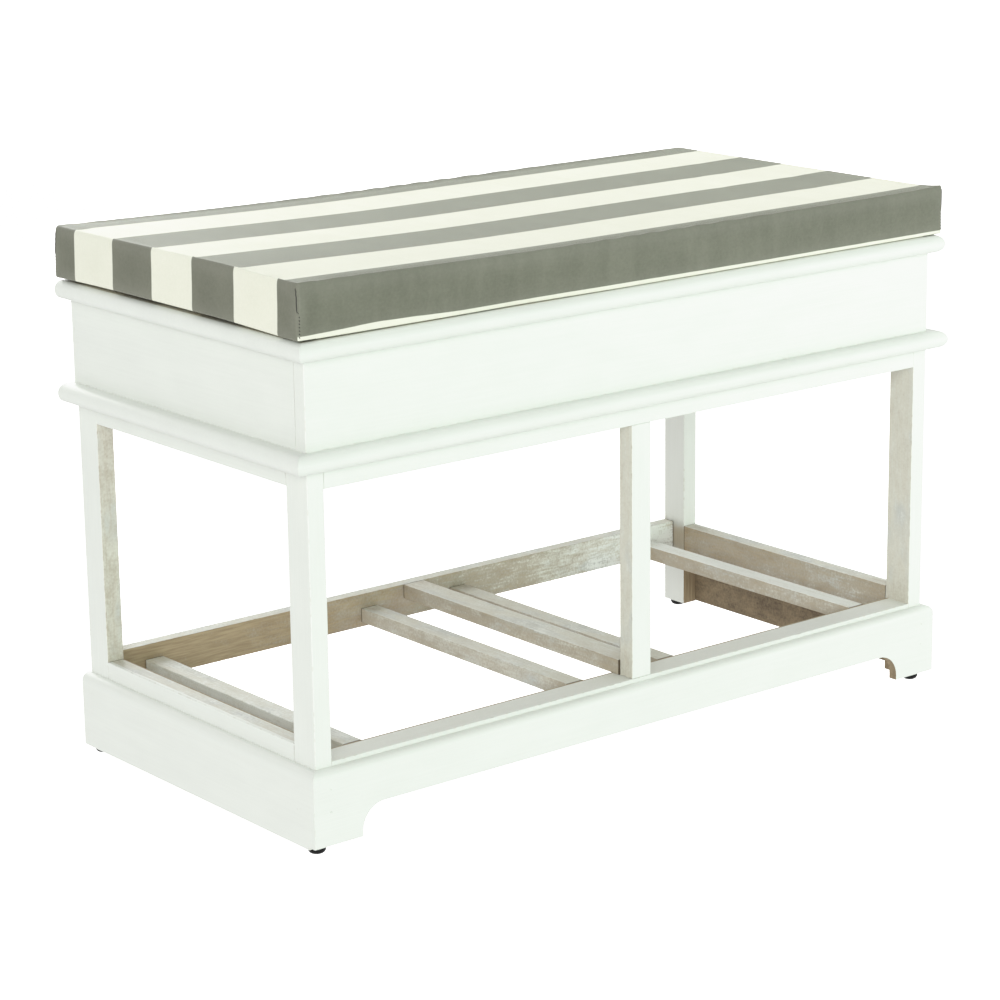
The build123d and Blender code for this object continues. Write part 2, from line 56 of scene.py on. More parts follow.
# %% [markdown]
# ## The camera
# The portrait is taken from beyond the front left corner, a little above the cushion, with a long lens that
# keeps the posts almost parallel. A camera is placed by three axes: where its right side points, where its
# top points, and where its back points. They follow from two angles and a slight tilt of the camera, and are
# written straight into its matrix, which is easier to check than a chain of rotations.

# %% Stand the camera at the front left corner
view_azimuth = math.radians(-38.665)
view_elevation = math.radians(14.844)
view_tilt = math.radians(-0.773)
view_centre = np.array((-20.6, -0.1, 225.6)) * mm
view_distance = 3019.3 * mm
focal_share = 3.0685
sensor_width = 36.0


def camera_axes(azimuth, elevation, tilt):
    """Right, up and back of a camera: back leans by the two angles, then right and up turn by the tilt."""
    back = np.array((
        math.sin(azimuth) * math.cos(elevation),
        -math.cos(azimuth) * math.cos(elevation),
        math.sin(elevation),
    ))
    level_right = np.array((math.cos(azimuth), math.sin(azimuth), 0.0))
    level_up = np.cross(back, level_right)
    right = math.cos(tilt) * level_right + math.sin(tilt) * level_up
    up = -math.sin(tilt) * level_right + math.cos(tilt) * level_up
    return right, up, back


right, up, back = camera_axes(view_azimuth, view_elevation, view_tilt)
camera_matrix = np.eye(4)
camera_matrix[:3, :3] = np.stack((right, up, back), axis=1)
camera_matrix[:3, 3] = view_centre + back * view_distance
lens = bpy.data.cameras.new("portrait_lens")
lens.sensor_fit = "HORIZONTAL"
lens.sensor_width = sensor_width
lens.lens = sensor_width * focal_share
camera = bpy.data.objects.new("portrait_camera", lens)
scene.collection.objects.link(camera)
camera.matrix_world = Matrix(camera_matrix.tolist())
scene.camera = camera
print("camera stands at", [round(float(v), 3) for v in camera_matrix[:3, 3]])

# %% [markdown]
# ## Writing finishes as formulas
# A finish is a tree of nodes, and trees are hard to read. The small class below wraps one output of a node,
# so that sums and products can be written as ordinary arithmetic, each adding its own Math node. Every other
# kind of node comes from its one method, which takes the node's type, its settings and its inputs.


# %% A class for shader arithmetic
class Flow:
    """One output of a node in a finish. Arithmetic on it adds Math nodes to the same tree."""

    def __init__(self, tree, socket=None):
        self.tree = tree
        self.socket = socket

    def node(self, kind, settings=None, inputs=None, output=0):
        """Add a node by its type, set its settings, then give its inputs their values or links."""
        made = self.tree.nodes.new(kind)
        for name, value in (settings or {}).items():
            setattr(made, name, value)
        for name, value in (inputs or {}).items():
            if isinstance(value, Flow):
                self.tree.links.new(value.socket, made.inputs[name])
            else:
                made.inputs[name].default_value = value
        return Flow(self.tree, made.outputs[output]) if made.outputs else None

    def math(self, operation, *values):
        return self.node("ShaderNodeMath", {"operation": operation}, dict(enumerate(values)))

    def __add__(self, other):
        return self.math("ADD", self, other)

    def __radd__(self, other):
        return self.math("ADD", other, self)

    def __sub__(self, other):
        return self.math("SUBTRACT", self, other)

    def __rsub__(self, other):
        return self.math("SUBTRACT", other, self)

    def __mul__(self, other):
        return self.math("MULTIPLY", self, other)

    def __rmul__(self, other):
        return self.math("MULTIPLY", other, self)

    def __truediv__(self, other):
        return self.math("DIVIDE", self, other)

    def __abs__(self):
        return self.math("ABSOLUTE", self)


print("sums on a Flow become Math nodes")


# %% Helpers that the finishes share
def new_finish(name):
    """An empty material, and a Flow to start its tree from."""
    finish = bpy.data.materials.new(name)
    finish.use_nodes = True
    finish.node_tree.nodes.clear()
    return finish, Flow(finish.node_tree)


def split(vector):
    """The three parts of a vector, as three Flows."""
    first = vector.node("ShaderNodeSeparateXYZ", inputs={0: vector})
    outputs = first.socket.node.outputs
    return [Flow(vector.tree, outputs[axis]) for axis in range(3)]


def rise(value, low, high):
    """0 below low, 1 above high, and a smooth climb between them."""
    return value.node("ShaderNodeMapRange", {"interpolation_type": "SMOOTHSTEP"}, {0: value, 1: low, 2: high})


def held(value):
    """The value, held between 0 and 1."""
    return value.node("ShaderNodeClamp", inputs={0: value})


def blend(mask, colour_at_0, colour_at_1):
    """A colour between two colours, by a mask."""
    inputs = {0: mask, 6: colour_at_0, 7: colour_at_1}
    return mask.node("ShaderNodeMix", {"data_type": "RGBA"}, inputs, output=2)


def speckle(place, size, shift=0.0, detail=3.0):
    """Noise whose lumps have a size in metres along each axis, moved by a shift so that pieces differ."""
    steps = [1.0 / length for length in size]
    moved = place.node("ShaderNodeMapping", inputs={0: place, 1: (shift, shift, shift), 3: steps})
    return place.node("ShaderNodeTexNoise", inputs={0: moved, "Scale": 1.0, "Detail": detail})


def close_finish(start, base, roughness, height, depth, **constants):
    """The shader: colour, roughness, a bump of a depth in metres from a height of 0 to 1, and constants."""
    bump = start.node("ShaderNodeBump", inputs={"Distance": depth, "Height": height})
    varying = {"Base Color": base, "Roughness": roughness, "Normal": bump}
    fixed = {name.replace("_", " "): value for name, value in constants.items()}
    surface = start.node("ShaderNodeBsdfPrincipled", inputs={**varying, **fixed})
    start.node("ShaderNodeOutputMaterial", inputs={"Surface": surface})


print("helpers for places, masks, colours and noise are ready")

# %% [markdown]
# ## Light
# White furniture is photographed in a bright white room: light from everywhere, from the pale floor too, and
# a large soft lamp beside the camera, so that the front is brightest, the left end next, and no moulding
# throws a heavy shadow. A small lamp evens out the right end, a green one far in front gives the front its
# trace of green, one from behind skims the tops, and one overhead lights the cushion. A photographic print
# also flattens the brightest tones. The scene's own tone curve does that here: it bends only near white, so
# that white paint keeps its faint tint where it would otherwise burn out.

# %% Light the room
air_above = 0.52
air_below = 0.92
horizon_blur = 0.5
white = (1.0, 1.0, 1.0, 1.0)
room = bpy.data.worlds.new("white_room")
room.use_nodes = True
room.node_tree.nodes.clear()
room_start = Flow(room.node_tree)
direction = split(room_start.node("ShaderNodeTexCoord", output="Generated"))
air_strength = air_below + rise(direction[2], -horizon_blur, horizon_blur) * (air_above - air_below)
air = room_start.node("ShaderNodeBackground", inputs={"Color": white, "Strength": air_strength})
room_start.node("ShaderNodeOutputWorld", inputs={"Surface": air})
scene.world = room
print("air of strength", air_below, "from below and", air_above, "from above")


# %% Hang the lamps
def soft_lamp(name, place, aim, size, power, tint=(1.0, 1.0, 1.0)):
    """A square soft lamp at a place, facing the point it is aimed at."""
    glow = bpy.data.lights.new(name, "AREA")
    glow.shape = "SQUARE"
    glow.color = tint
    glow.size = size
    glow.energy = power
    lamp = bpy.data.objects.new(name, glow)
    scene.collection.objects.link(lamp)
    facing = Vector(aim) - Vector(place)
    turn = facing.to_track_quat("-Z", "Y").to_matrix().to_4x4()
    lamp.matrix_world = Matrix.Translation(place) @ turn
    return lamp


lamp_aim = np.array((0.0, 0.0, 0.3))
lamp_azimuth = math.radians(-45.0)
lamp_elevation = math.radians(15.0)
lamp_distance = 9.0
lamp_place = lamp_aim + lamp_distance * camera_axes(lamp_azimuth, lamp_elevation, 0.0)[2]
soft_lamp("front_lamp", lamp_place, lamp_aim, size=5.2, power=460.0, tint=(0.98, 1.0, 0.97))
soft_lamp("right_lamp", (1.15, -1.25, 0.35), (0.3, 0.0, 0.3), size=0.6, power=3.6)
soft_lamp("fill_lamp", (2.0, -5.6, 1.3), lamp_aim, size=2.0, power=21.0, tint=(0.2, 1.0, 0.5))
soft_lamp("rear_lamp", (0.55, 3.5, 1.8), lamp_aim, size=2.6, power=86.0)
soft_lamp("top_lamp", (0.62, 0.1, 1.7), (0.2, 0.0, 0.5), size=0.8, power=4.4)

# %% Set the tone curve
tone_white = 3.0
tone_points = ((0.2, 0.2), (0.4, 0.4), (0.6, 0.6), (0.8, 0.8), (0.9, 0.895),
               (1.0, 0.955), (1.15, 0.985), (1.5, 1.0))
scene.view_settings.view_transform = "Standard"
scene.view_settings.use_curve_mapping = True
tone_curve = scene.view_settings.curve_mapping
tone_curve.white_level = (tone_white,) * 3
for bright, shown in tone_points:
    tone_curve.curves[3].points.new(bright / tone_white, shown)
tone_curve.update()
print("tone curve of", len(tone_curve.curves[3].points), "points")

# %% [markdown]
# ## The floor
# The bench stands on a plain pale floor, one flat sheet wide enough to fill the picture. It belongs to the
# studio and not to the bench. Its finish is matt, with a very faint mottle. The light that it would throw
# back is already in the air from below, so the floor itself throws none.


# %% Lay the floor
def mesh_piece(name, corners, faces):
    """A mesh object at the origin, from an array of corners and a list of faces."""
    mesh = bpy.data.meshes.new(name)
    mesh.from_pydata(np.asarray(corners).tolist(), [], faces)
    mesh.update()
    piece = bpy.data.objects.new(name, mesh)
    scene.collection.objects.link(piece)
    return piece


def grid_faces(rows, columns):
    """Quads of a grid of points that is stored row by row."""
    first = (np.arange(rows - 1)[:, None] * columns + np.arange(columns - 1)).ravel()
    return np.stack((first, first + 1, first + columns + 1, first + columns), axis=1)


floor_reach = 14.0
floor_steps = 8
floor_x, floor_y = np.meshgrid(*[np.linspace(-floor_reach, floor_reach, floor_steps)] * 2)
floor_points = np.stack((floor_x, floor_y, np.zeros_like(floor_x)), axis=-1).reshape(-1, 3)
floor = mesh_piece("studio_floor", floor_points, grid_faces(floor_steps, floor_steps).tolist())
floor_finish, start = new_finish("pale_floor")
floor_place = start.node("ShaderNodeTexCoord", output="Object")
floor_mottle = speckle(floor_place, (0.4, 0.4, 0.4))
floor_colour = blend(floor_mottle, (0.88, 0.88, 0.88, 1.0), (0.90, 0.90, 0.90, 1.0))
close_finish(start, floor_colour, 0.9, floor_mottle, 0.0001, Emission_Color=white,
             Emission_Strength=1.3, Specular_IOR_Level=0.1)
floor.data.materials.append(floor_finish)
floor.visible_diffuse = False
floor.visible_glossy = False
print("floor of", len(floor.data.polygons), "quads")

# %% [markdown]
# ## Painted boards and washed boards
# Every board is sawn softwood. The faces that show are brushed with satin white paint. The faces turned to
# the inside, and the lid's top under the cushion, only got what was left on the brush: a thin wash that lets
# the brown wood through, thinnest by the joints. On the lid's top the wash is also painted shadow: it darkens
# the gap under the cushion. One formula covers both. A mask says how much paint lies at each point, wood and
# paint are two colours, and the mask mixes them. It reads the board's own box and the way a face points, so
# the same function finishes a post, a rail and a panel, with the grain along the longest side.

# %% What each board's inside faces got
# A thin face is named by the axis it points along, the sign, and how much paint covers it at the low and at
# the high end of the board; below zero the wood is painted darker, for soil and for painted shade. A lap is
# the strip beside another face where the full coat came round the edge, a bare and shaded edge is a dark
# strip of bare wood that the brush missed and of painted shadow along that edge, and an edge coat is how far
# the full coat reaches in from the outer edges of a board that lies flat.
whole_board = [(axis, sign, 0.40, 0.48) for axis in range(3) for sign in (-1, 1)]
pale_inside = 0.80


def runner_wash(side_front, side_rear, top_front, top_rear):
    """The thin faces of a runner: both sides and the top by their cover, bottom and end nearly bare."""
    sides = [(0, sign, side_front, side_rear) for sign in (-1, 1)]
    return sides + [(2, 1, top_front, top_rear), (2, -1, 0.1, 0.1), (1, -1, 0.3, 0.3)]


thin_faces = {
    "back_bottom_rail": [(1, -1, -0.32, 1.04), (2, 1, 0.80, 0.86), (2, -1, 0.1, 0.1)],
    "centre_divider": [(0, -1, 0.60, 0.52), (0, 1, 0.68, 0.64), (1, -1, 0.1, 0.1), (2, 1, 0.90, 0.78),
                       (2, -1, 0.1, 0.1)],
    "left_outer_runner": runner_wash(1.0, 0.94, 0.92, 0.85),
    "left_inner_runner": runner_wash(0.70, 0.62, 0.92, 0.78),
    "right_inner_runner": runner_wash(0.68, 0.60, 0.90, 0.76),
    "right_outer_runner": runner_wash(0.57, 0.49, 1.0, 0.98),
    "hinge_rail": whole_board,
    "front_bottom_rail": [(2, 1, 0.96, 0.96), (1, 1, 0.4, 0.4), (2, -1, 0.1, 0.1)],
    "left_bottom_rail": [(0, 1, 0.58, 0.58), (2, 1, 0.87, 0.82), (2, -1, 0.1, 0.1)],
    "right_bottom_rail": [(0, -1, 0.56, 0.30), (2, 1, 0.86, 0.80), (2, -1, 0.1, 0.1)],
    "front_plinth": [(1, 1, -0.4, -0.4), (0, 1, -0.35, -0.35), (0, -1, -0.35, -0.35), (2, -1, 0.1, 0.1)],
    "left_plinth": [(0, 1, -0.4, -0.4), (2, -1, 0.2, 0.2)],
    "right_plinth": [(0, -1, -0.7, -0.5), (2, -1, 0.2, 0.2)],
    "front_left_post": [(0, 1, pale_inside, pale_inside), (1, 1, pale_inside, pale_inside)],
    "front_right_post": [(0, -1, pale_inside, pale_inside), (1, 1, pale_inside, pale_inside)],
    "rear_left_post": [(0, 1, pale_inside, pale_inside), (1, -1, 0.70, 0.74)],
    "rear_right_post": [(0, -1, 0.97, 1.0), (1, -1, 0.97, 1.0)],
    "centre_post": [(0, -1, pale_inside, pale_inside), (0, 1, pale_inside, pale_inside), (1, 1, 0.3, 0.3)],
    # The lid's top wash is also painted shadow for the gap under the cushion.
    "lid_board": [(2, -1, 0.55, 0.55), (2, 1, 0.68, 0.68)],
    "chest_front_panel": [(1, 1, 0.55, 0.55)],
    "chest_left_panel": [(0, 1, 0.55, 0.55)],
    "chest_right_panel": [(0, -1, 0.55, 0.55)],
    "chest_back_panel": [(1, -1, 0.55, 0.55), (1, 1, 0.5, 0.5)],
    "chest_floor_board": [(2, -1, 0.5, 0.5)],
}
laps = {
    "left_bottom_rail": (0, -1, 5 * mm),
    "right_bottom_rail": (0, 1, 5 * mm),
    "back_bottom_rail": (1, 1, 4 * mm),
}
# The dark strip along these edges is bare wood and painted shadow.
bare_and_shaded_edges = {
    "front_bottom_rail": (1, 1, 3.0 * mm),
    "left_bottom_rail": (0, 1, 2.5 * mm),
}
edge_coats = {
    ("lid_board", -1): 20 * mm,
    ("lid_board", 1): 8.5 * mm,
    ("chest_floor_board", -1): 24 * mm,
}
print(len(thin_faces), "boards have thinly washed faces")

# %% [markdown]
# The colours are the paint, which is a white with a trace of green, the washes and the wood. A wash is warm,
# or bluish where a wet brush smeared it, and greyer where it is thin. The wood has light and dark fibres, and
# is painted darker near the floor: soil, and painted shade where it lies deep behind the plinth. Noise makes
# them uneven: its lumps are long along the board for grain, fibres and brush marks, and round for flecks and
# dust.

# %% Paint, washes and wood
paint_pale = (0.785, 0.81, 0.765, 1.0)
paint_deep = (0.745, 0.77, 0.725, 1.0)
wash_warm = (0.705, 0.72, 0.645, 1.0)
wash_cool = (0.565, 0.605, 0.585, 1.0)
wash_grey = (0.50, 0.49, 0.425, 1.0)
wood_light = (0.385, 0.305, 0.19, 1.0)
wood_dark = (0.275, 0.208, 0.126, 1.0)
wood_soil_and_shade = (0.13, 0.095, 0.06, 1.0)
joint_dark = (0.07, 0.055, 0.035, 1.0)
lumps = {
    "grain": (90 * mm, 2.4 * mm, 0.0, 2.0),
    "fibre": (24 * mm, 1.8 * mm, 4.1, 2.0),
    "brush": (45 * mm, 0.9 * mm, 1.3, 0.0),
    "patch": (55 * mm, 26 * mm, 2.1, 2.0),
    "fleck": (7 * mm, 7 * mm, 0.7, 1.0),
    "blotch": (16 * mm, 9 * mm, 5.2, 3.0),
    "dust": (2.4 * mm, 2.4 * mm, 3.3, 2.0),
}


def board_noise(place, along, shift):
    """The noises by name. Each has a length along the board, a width across it, a shift and its detail."""
    noise = {}
    for name, (length, width, step, detail) in lumps.items():
        size = [length if axis == along else width for axis in range(3)]
        noise[name] = speckle(place, size, shift + step, detail)
    return noise


print("nine colours and", len(lumps), "noises")

# %% [markdown]
# A finish also has to know where it is on its board. The corners of a board are rubbed: the mask that finds
# them takes the second smallest of the three distances to the board's box, which is small only beside an
# edge. By a joint the wash is stained, so the distance to the ends counts too, or, on a post, the distance to
# the height of the bottom rails.


# %% Where a point lies on its board
def least(first, second):
    """The smaller of two Flows."""
    return first.math("MINIMUM", first, second)


def most(first, second):
    """The larger of two Flows."""
    return first.math("MAXIMUM", first, second)


shift_step = 3.7
rubbed_width = 1.3 * mm
joint_stain = 40 * mm
rail_height = 90 * mm
stain_share = 0.3
uneven_shares = {"patch": 0.9, "blotch": 0.9, "fibre": 0.9, "dust": 1.0}


class Timber:
    """A board for the shader: its box in metres, and Flows for places, facings, distances and noises."""

    def __init__(self, name, number):
        self.name = name
        self.low, self.high = [[float(value) for value in corner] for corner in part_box(name)]
        self.finish, self.start = new_finish(name + "_finish")
        lengths = np.subtract(self.high, self.low).tolist()
        self.along = int(np.argmax(lengths))
        place = self.start.node("ShaderNodeTexCoord", output="Object")
        self.spot = split(place)
        self.facing = split(self.start.node("ShaderNodeTexCoord", output="Normal"))
        self.noise = board_noise(place, self.along, shift_step * number)
        from_low = self.spot[self.along] - self.low[self.along]
        self.run = from_low / lengths[self.along]
        self.to_ends = least(from_low, self.high[self.along] - self.spot[self.along])
        middle = np.add(self.low, self.high) / 2
        self.to_faces = [lengths[axis] / 2 - abs(self.spot[axis] - float(middle[axis])) for axis in range(3)]
        self.uneven = self.unevenness()

    def unevenness(self):
        """How much more or less than its share of paint a point got: noises, less the stain by a joint."""
        to_joint = abs(self.spot[2] - rail_height) if self.along == 2 else self.to_ends
        near = to_joint + (self.noise["patch"] - 0.5) * joint_stain
        uneven = (rise(near, 0.0, joint_stain) - 1.0) * stain_share
        for name, share in uneven_shares.items():
            uneven = uneven + (self.noise[name] - 0.5) * share
        return uneven

    def rubbed(self):
        """1 in flecks along the board's edges, where the paint is rubbed, and 0 elsewhere."""
        first, second, third = self.to_faces
        to_edge = most(least(first, second), least(most(first, second), third))
        beside_edge = 1.0 - rise(to_edge, 0.3 * rubbed_width, rubbed_width)
        return beside_edge * rise(self.noise["fleck"], 0.52, 0.70)

    def to_side(self, axis, sign):
        """Distance to the board's low or high side along an axis."""
        return abs(self.spot[axis] - (self.high[axis] if sign > 0 else self.low[axis]))


print("a board knows its box, its ends and its edges")

# %% How much paint lies on a thin face
inner_boards = ("centre_divider", "back_bottom_rail", "left_bottom_rail", "right_bottom_rail",
                "left_outer_runner", "left_inner_runner", "right_inner_runner", "right_outer_runner")
least_bareness = 0.25
bare_shaded_foot_height = 72 * mm
soiled_shaded_feet = {"front_left_post": (0, 1), "front_right_post": (0, -1),
               "rear_left_post": (1, -1), "rear_right_post": (1, -1)}
rail_stain = ("rear_right_post", 0, -1)
rail_stain_height = 83 * mm
stray = 20 * mm


def thin_cover(board, axis, sign, cover_low, cover_high):
    """A slope from end to end, uneven where thin, less painted darkness (soil and shade) at feet, stains and
    bare, shaded edges, and full at laps and coats.
    """
    name, noise = board.name, board.noise
    height = board.spot[2]
    bareness = min(1.0, 1.0 - (cover_low + cover_high) / 2)
    if name in inner_boards:
        bareness = max(least_bareness, bareness)
    lying = cover_low + board.run * (cover_high - cover_low) + board.uneven * bareness
    # The foot of these posts, behind the plinth, is painted darker: soiled bare wood, and painted shade.
    if soiled_shaded_feet.get(name) == (axis, sign):
        foot_height = height + (noise["blotch"] - 0.5) * stray
        foot = 1.0 - rise(foot_height, bare_shaded_foot_height - 8 * mm, bare_shaded_foot_height + 4 * mm)
        lying = lying - foot * (1.1 + (noise["grain"] - 0.5) * 0.8)
    if rail_stain == (name, axis, sign):
        from_rail = abs(height - rail_stain_height) + (noise["patch"] - 0.5) * stray
        lying = lying - 0.6 * (1.0 - rise(from_rail, 5 * mm, 25 * mm))
    if name in laps:
        lap_axis, lap_sign, lap_width = laps[name]
        away = board.to_side(lap_axis, lap_sign) + (noise["patch"] - 0.5) * lap_width
        lying = most(lying, 1.0 - rise(away, 0.6 * lap_width, lap_width))
    # A dark strip along an edge: bare wood, and painted shadow.
    if name in bare_and_shaded_edges and axis == 2:
        edge_axis, edge_sign, edge_width = bare_and_shaded_edges[name]
        away = board.to_side(edge_axis, edge_sign)
        lying = lying - 0.8 * (1.0 - rise(away, 0.6 * edge_width, edge_width))
    if (name, sign) in edge_coats:
        inward = least(board.to_faces[0], board.to_faces[1])
        coat_end = edge_coats[(name, sign)]
        lying = most(lying, 1.0 - rise(inward, coat_end - 2 * mm, coat_end + 2 * mm))
    return lying


print(len(soiled_shaded_feet), "posts have a bare foot")

# %% The finish of a timber board
joint_line_width = 1.5 * mm
rub_share = 0.14


def timber_colour(board, cover, thin, soil_and_shade):
    """Wood + cover x (coat - wood). The coat is paint, or a wash where a thin face isn't fully covered."""
    patch, grain = board.noise["patch"], board.noise["grain"]
    coat = blend(held(0.5 + (patch - 0.5) * 1.1 + (grain - 0.5) * 0.9), paint_deep, paint_pale)
    if board.name in thin_faces:
        wash = blend(rise(patch, 0.45, 0.72), wash_warm, wash_cool)
        wash = blend(rise(cover, 0.5, 0.8), wash_grey, wash)
        coat = blend(thin * (1.0 - rise(cover, 0.8, 1.0)), coat, wash)
    wood = blend(rise(board.noise["fibre"], 0.25, 0.75), wood_light, wood_dark)
    # Where the cover fell below zero the wood is painted darker: soil, and painted shade at the feet and
    # inside the plinth.
    wood = blend(soil_and_shade, wood, wood_soil_and_shade)
    base = blend(cover, wood, coat)
    if board.name in inner_boards:
        joint_line = 1.0 - rise(board.to_ends, 0.3 * joint_line_width, joint_line_width)
        base = blend(joint_line * thin * 0.85, base, joint_dark)
    return base


def timber_finish(name, number):
    """Paint over wood: the cover is 1 less the rubs, and falls to its own share on each thin face."""
    board = Timber(name, number)
    cover = 1.0 - board.rubbed() * rub_share
    thin = 0.0
    for axis, sign, cover_low, cover_high in thin_faces.get(name, []):
        face = rise(board.facing[axis] * float(sign), 0.55, 0.8)
        cover = cover - face * (1.0 - thin_cover(board, axis, sign, cover_low, cover_high))
        thin = face + thin
    # Cover below zero is painted darkness: soil, and painted shade in the deep corners.
    soil_and_shade = held(0.0 - cover)
    cover = held(cover)
    base = timber_colour(board, cover, thin, soil_and_shade)
    brush = board.noise["brush"]
    roughness = 0.80 - cover * 0.34 + (brush - 0.5) * 0.12
    height = board.noise["grain"] * (0.75 - cover * 0.5) + brush * 0.35
    close_finish(board.start, base, roughness, height, 0.25 * mm)
    return board.finish


timber_slots = ("white_paint", "whitewash")
timber_boards = sorted(name for name, board in boards.items()
                       if board.material_slots[0].material.name.split(".")[0] in timber_slots)
for number, name in enumerate(timber_boards):
    boards[name].material_slots[0].material = timber_finish(name, number)
print(len(timber_boards), "boards finished")

# %% [markdown]
# ## Dowels, glides, hinges and nails
# The small pieces are mostly hidden, but they show when the lid opens or the bench is turned over. Dowels are
# bare beech, the glides under the posts are black moulded plastic, the hinges are brass that has dulled, and
# screws and nails are zinc-plated steel. Each gets a finish with its own grain, scuffs or brushed lines. The
# brads of the plinth and the nails of the back were painted over with the boards.


# %% Small finishes
def dowel_finish():
    """Bare beech: short brown flecks along a pale wood."""
    finish, start = new_finish("bare_dowel_finish")
    place = start.node("ShaderNodeTexCoord", output="Object")
    fleck = speckle(place, (1.2 * mm, 1.2 * mm, 1.2 * mm))
    tone = speckle(place, (9 * mm, 9 * mm, 9 * mm))
    base = blend(held(fleck * 0.6 + tone * 0.4), (0.62, 0.47, 0.29, 1.0), (0.46, 0.32, 0.18, 1.0))
    close_finish(start, base, 0.7 + (fleck - 0.5) * 0.2, fleck, 0.1 * mm)
    return finish


def glide_finish():
    """Black moulded plastic: a fine moulded grain, with grey scuffs where it slides."""
    finish, start = new_finish("black_glide_finish")
    place = start.node("ShaderNodeTexCoord", output="Object")
    moulded = speckle(place, (0.5 * mm, 0.5 * mm, 0.5 * mm))
    scuff = rise(speckle(place, (0.6 * mm, 4 * mm, 2 * mm), 1.7), 0.58, 0.72)
    base = blend(scuff * 0.6, (0.004, 0.004, 0.0045, 1.0), (0.03, 0.03, 0.03, 1.0))
    roughness = 0.34 + scuff * 0.25 + (moulded - 0.5) * 0.1
    close_finish(start, base, roughness, moulded, 0.05 * mm, Specular_IOR_Level=0.2)
    return finish


def metal_finish(name, bright, dull, rough):
    """Plated metal: lines drawn along the piece, and dull spots where the plating has aged."""
    finish, start = new_finish(name)
    place = start.node("ShaderNodeTexCoord", output="Object")
    lines = speckle(place, (12 * mm, 0.35 * mm, 0.35 * mm))
    age = rise(speckle(place, (5 * mm, 5 * mm, 5 * mm), 2.9), 0.45, 0.75)
    base = blend(held(age * 0.8 + (lines - 0.5) * 0.4), bright, dull)
    roughness = rough + age * 0.2 + (lines - 0.5) * 0.15
    close_finish(start, base, roughness, lines, 0.03 * mm, Metallic=1.0)
    return finish


brass = metal_finish("dull_brass_finish", (0.72, 0.53, 0.25, 1.0), (0.42, 0.30, 0.15, 1.0), 0.30)
zinc = metal_finish("zinc_plate_finish", (0.66, 0.67, 0.68, 1.0), (0.42, 0.42, 0.42, 1.0), 0.34)
painted_heads = timber_finish("plinth_brads", len(timber_boards))
small_finishes = {
    "raw_wood": dowel_finish(),
    "black_plastic": glide_finish(),
    "hinge_brass": brass,
    "steel": zinc,
}
small_pieces = [name for name in boards if name not in timber_boards and not name.startswith("cushion")]
for name in small_pieces:
    slot = boards[name].material_slots[0]
    slot.material = small_finishes[slot.material.name.split(".")[0]]
for name in ("plinth_brads", "back_panel_nails"):
    boards[name].material_slots[0].material = painted_heads
print(len(small_pieces), "small pieces finished")

# %% [markdown]
# ## The cushion's cover before it is filled
# The cushion is a box of foam in a cotton cover. Its cover is cut as six flat panels, so the mesh is six
# grids that share their edges, with the edges rounded. Every point of a box grid is pulled to the surface of
# a rounded box: clamp the point to an inner box, then go out from there by the radius. Rows stand closer
# along the edges, so that each rounding has a row every 15 degrees. The start is a little lower than the
# finished cushion, because filling it makes it swell.

# %% Rows of the cover
cover_low, cover_high = [np.array(corner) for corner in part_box("cushion_cover")]
cushion_low = cover_low + np.array((1.0, -0.5, 0.0)) * mm
cushion_high = cover_high + np.array((2.5, 4.5, -0.8)) * mm
edge_round = 5.0 * mm
quad_size = 7.5 * mm


def rows_between(low, high):
    """Rows from edge to edge: beside each by the tangents of 45, 30, 15 and 0 degrees, then even ones."""
    edge = edge_round * (1.0 - np.tan(np.radians((45.0, 30.0, 15.0, 0.0))))
    count = int(round((high - low - 2 * edge_round) / quad_size))
    even = np.linspace(low + edge_round, high - edge_round, count + 1)[1:-1]
    return np.concatenate((low + edge, even, high - edge[::-1]))


rows = [rows_between(cushion_low[axis], cushion_high[axis]) for axis in range(3)]
counts = np.array([len(places) - 1 for places in rows])
print("rows along, across and up:", [len(places) for places in rows])


# %% Sew six panels that share their edges
def box_panels(counts):
    """Corner numbers of a lattice box: its skin's corners in order, and quads of its six panels, outwards."""
    size = counts + 1
    steps = np.stack(np.meshgrid(*[np.arange(n) for n in size], indexing="ij"), axis=-1).reshape(-1, 3)
    skin = np.any((steps == 0) | (steps == counts), axis=1)
    number = np.full(len(steps), -1)
    number[skin] = np.arange(skin.sum())
    number = number.reshape(size)
    panels = {}
    for axis in range(3):
        for end, side in ((0, -1), (counts[axis], 1)):
            sheet = np.take(number, end, axis=axis)
            quads = np.stack((sheet[:-1, :-1], sheet[1:, :-1], sheet[1:, 1:], sheet[:-1, 1:]), axis=-1)
            outward = (side > 0) != (axis == 1)
            panels[(axis, side)] = quads.reshape(-1, 4) if outward else quads.reshape(-1, 4)[:, ::-1]
    return steps[skin], panels


def round_box(points, low, high, radius):
    """Rounded box: the nearest point of an inner box, plus the radius along the way out from it."""
    inner = np.clip(points, low + radius, high - radius)
    out = points - inner
    out /= np.linalg.norm(out, axis=1, keepdims=True)
    return inner + radius * out, out


cover_steps, cover_panels = box_panels(counts)
cover_flat = np.stack([rows[axis][cover_steps[:, axis]] for axis in range(3)], axis=1)
cover_start, cover_out = round_box(cover_flat, cushion_low, cushion_high, edge_round)
cushion = mesh_piece("striped_cushion", cover_start, np.concatenate(list(cover_panels.values())).tolist())
print("cover of", len(cover_start), "points in", counts, "steps")

# %% [markdown]
# ## Filling the cushion
# Blender's cloth does the filling: pressure pushes every panel outwards while the seams along the edges are
# drawn a little shorter, which puckers them. Gravity is off, the underside is held where it lies on the lid,
# and only the way out from the foam counts, up to a limit of less than a millimetre, because firm foam keeps
# a cushion nearly flat. The result is written back into the mesh, so that no simulation is left on the piece.


